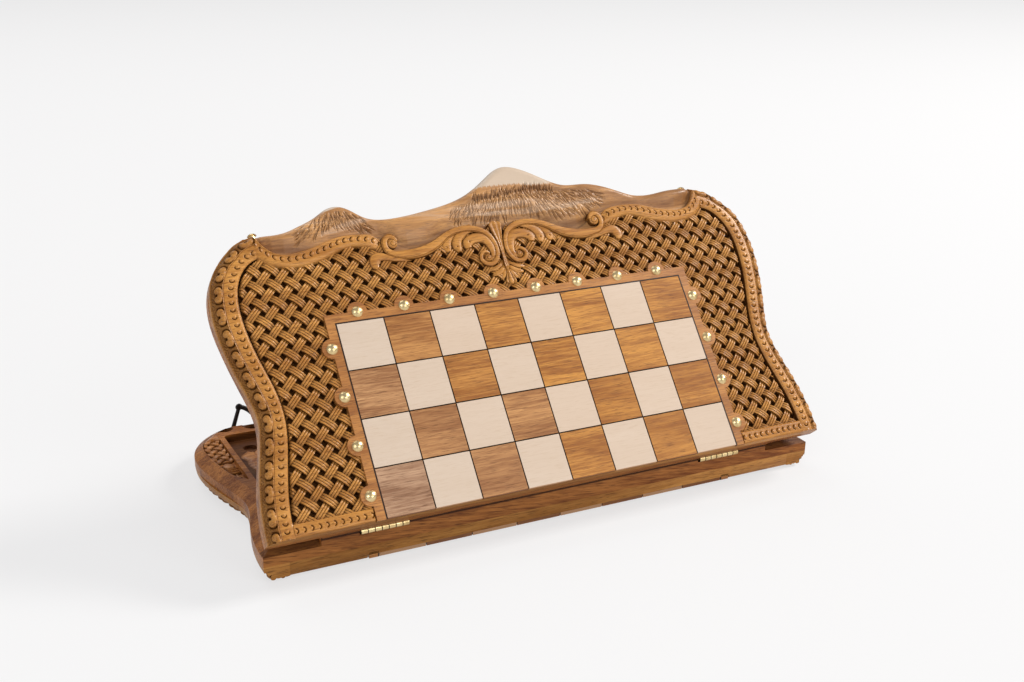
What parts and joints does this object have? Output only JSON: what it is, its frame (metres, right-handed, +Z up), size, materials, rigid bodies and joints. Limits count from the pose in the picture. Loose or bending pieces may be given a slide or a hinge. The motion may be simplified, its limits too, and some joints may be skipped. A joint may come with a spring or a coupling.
{
  "type": "chess and backgammon board",
  "caption": "Folding carved wooden game case: chess field in a basket-weave surround outside, backgammon tray inside, butt hinges at the front edge and swing hooks at the back.",
  "frame": {"origin": "middle of the whole board's footprint box, on the table under the lower half's studs, with the lid half open", "axes": "X along the hinge edge, Y from the hinge edge to the back where the hooks are, Z up"},
  "size_m": [0.5054, 0.3042, 0.2572],
  "materials": {
    "walnut": "satin lacquered walnut",
    "dark_wood": "satin lacquered walnut",
    "pale_wood": "satin lacquered pale hardwood",
    "brass": "polished brass",
    "black_iron": "blackened"
  },
  "bodies": {
    "lower_half": {"lower_case": "walnut", "lower_face": "walnut", "lower_chess_frame": "walnut", "lower_light_squares": "pale_wood", "lower_dark_squares": "dark_wood", "lower_studs": "brass", "left_hinge_lower_leaf": "brass", "right_hinge_lower_leaf": "brass", "left_hinge_pin": "brass", "right_hinge_pin": "brass", "lower_hinge_screws": "brass", "hook_screws": "black_iron", "hook_washers": "black_iron"},
    "upper_half": {"upper_case": "walnut", "upper_face": "walnut", "upper_chess_frame": "walnut", "upper_light_squares": "pale_wood", "upper_dark_squares": "dark_wood", "upper_studs": "brass", "left_hinge_upper_leaf": "brass", "right_hinge_upper_leaf": "brass", "upper_hinge_screws": "brass", "catch_studs": "brass"},
    "left_hook": {"left_hook": "black_iron"},
    "right_hook": {"right_hook": "black_iron"}
  },
  "joints": [
    {"name": "lid_fold", "type": "hinge", "parent": "lower_half", "child": "upper_half", "pos_m": [0, -0.13304, 0.0276], "axis": [1, 0, 0], "range_deg": [-50, 130]},
    {"name": "left_hook_swing", "type": "hinge", "parent": "lower_half", "child": "left_hook", "pos_m": [-0.204, 0.11446, 0.0181], "axis": [0, 1, 0], "range_deg": [-40, 45]},
    {"name": "right_hook_swing", "type": "hinge", "parent": "lower_half", "child": "right_hook", "pos_m": [0.204, 0.11446, 0.0181], "axis": [0, -1, 0], "range_deg": [-40, 45]}
  ]
}
